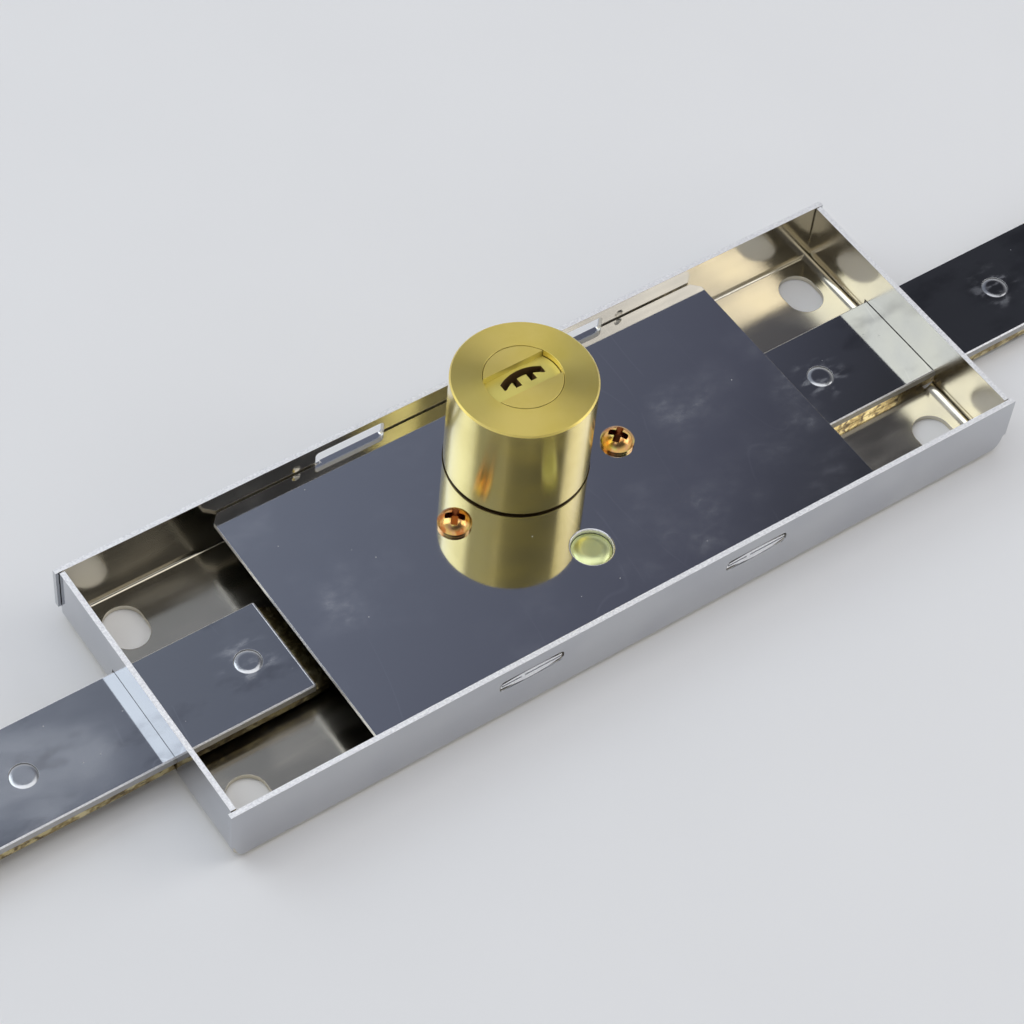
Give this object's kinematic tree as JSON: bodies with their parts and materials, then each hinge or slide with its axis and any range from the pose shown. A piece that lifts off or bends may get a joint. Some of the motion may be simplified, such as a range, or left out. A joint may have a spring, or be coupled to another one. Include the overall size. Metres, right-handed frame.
{
  "type": "roller shutter lock",
  "caption": "Shallow steel case with a raised key cylinder in its middle; turning the key slides flat bars in or out through the ends of the case.",
  "frame": {"origin": "middle of the back of the case, on the face that lies on the shutter", "axes": "+X along the bars, +Y from the middle towards the long wall that the cylinder is nearer to, +Z out of the cover towards the key"},
  "size_m": [0.43, 0.07, 0.0384],
  "materials": {
    "case_chrome": "bright plated sheet",
    "bar_chrome": "polished and plated",
    "rack_zinc": "yellow passivated zinc",
    "post_zinc": "yellow passivated zinc",
    "screw_zinc": "yellow passivated zinc",
    "cylinder_brass": "fine turned",
    "plug_brass": "fine turned",
    "pin_brass": "turned",
    "bush_brass": "turned",
    "pinion_steel": "machined, oiled",
    "spring_steel": "bright"
  },
  "bodies": {
    "case": {"case_tray": "case_chrome", "cover_plate": "case_chrome", "cylinder_body": "cylinder_brass", "cylinder_screws": "screw_zinc", "chamber_plugs": "cylinder_brass", "guide_post": "post_zinc", "pinion_bush": "bush_brass", "rack_keeper": "rack_zinc", "driver_pin_1": "pin_brass", "driver_pin_2": "pin_brass", "driver_pin_3": "pin_brass", "driver_pin_4": "pin_brass", "driver_pin_5": "pin_brass", "pin_spring_1": "spring_steel", "pin_spring_2": "spring_steel", "pin_spring_3": "spring_steel", "pin_spring_4": "spring_steel", "pin_spring_5": "spring_steel"},
    "plug": {"lock_plug": "plug_brass", "plug_clip": "spring_steel", "drive_pinion": "pinion_steel", "key_pin_1": "pin_brass", "key_pin_2": "pin_brass", "key_pin_3": "pin_brass", "key_pin_4": "pin_brass", "key_pin_5": "pin_brass"},
    "left_bar": {"left_bar_plate": "bar_chrome", "left_rack": "rack_zinc", "left_bar_rivets": "bar_chrome"},
    "right_bar": {"right_bar_plate": "bar_chrome", "right_rack": "rack_zinc", "right_bar_rivets": "bar_chrome"}
  },
  "joints": [
    {"name": "left_bar_slide", "type": "slide", "parent": "case", "child": "left_bar", "axis": [1, 0, 0], "range_m": [0, 0.02356]},
    {"name": "right_bar_slide", "type": "slide", "parent": "case", "child": "right_bar", "axis": [-1, 0, 0], "range_m": [0, 0.02356]},
    {"name": "plug_turn", "type": "hinge", "parent": "case", "child": "plug", "pos_m": [0, 0.0132, 0], "axis": [0, 0, 1], "range_deg": [0, 180]}
  ],
  "couplings": [
    {"joint": "right_bar_slide", "follows": "left_bar_slide", "ratio": 1},
    {"joint": "plug_turn", "follows": "left_bar_slide", "rad_per_m": 133.33}
  ]
}
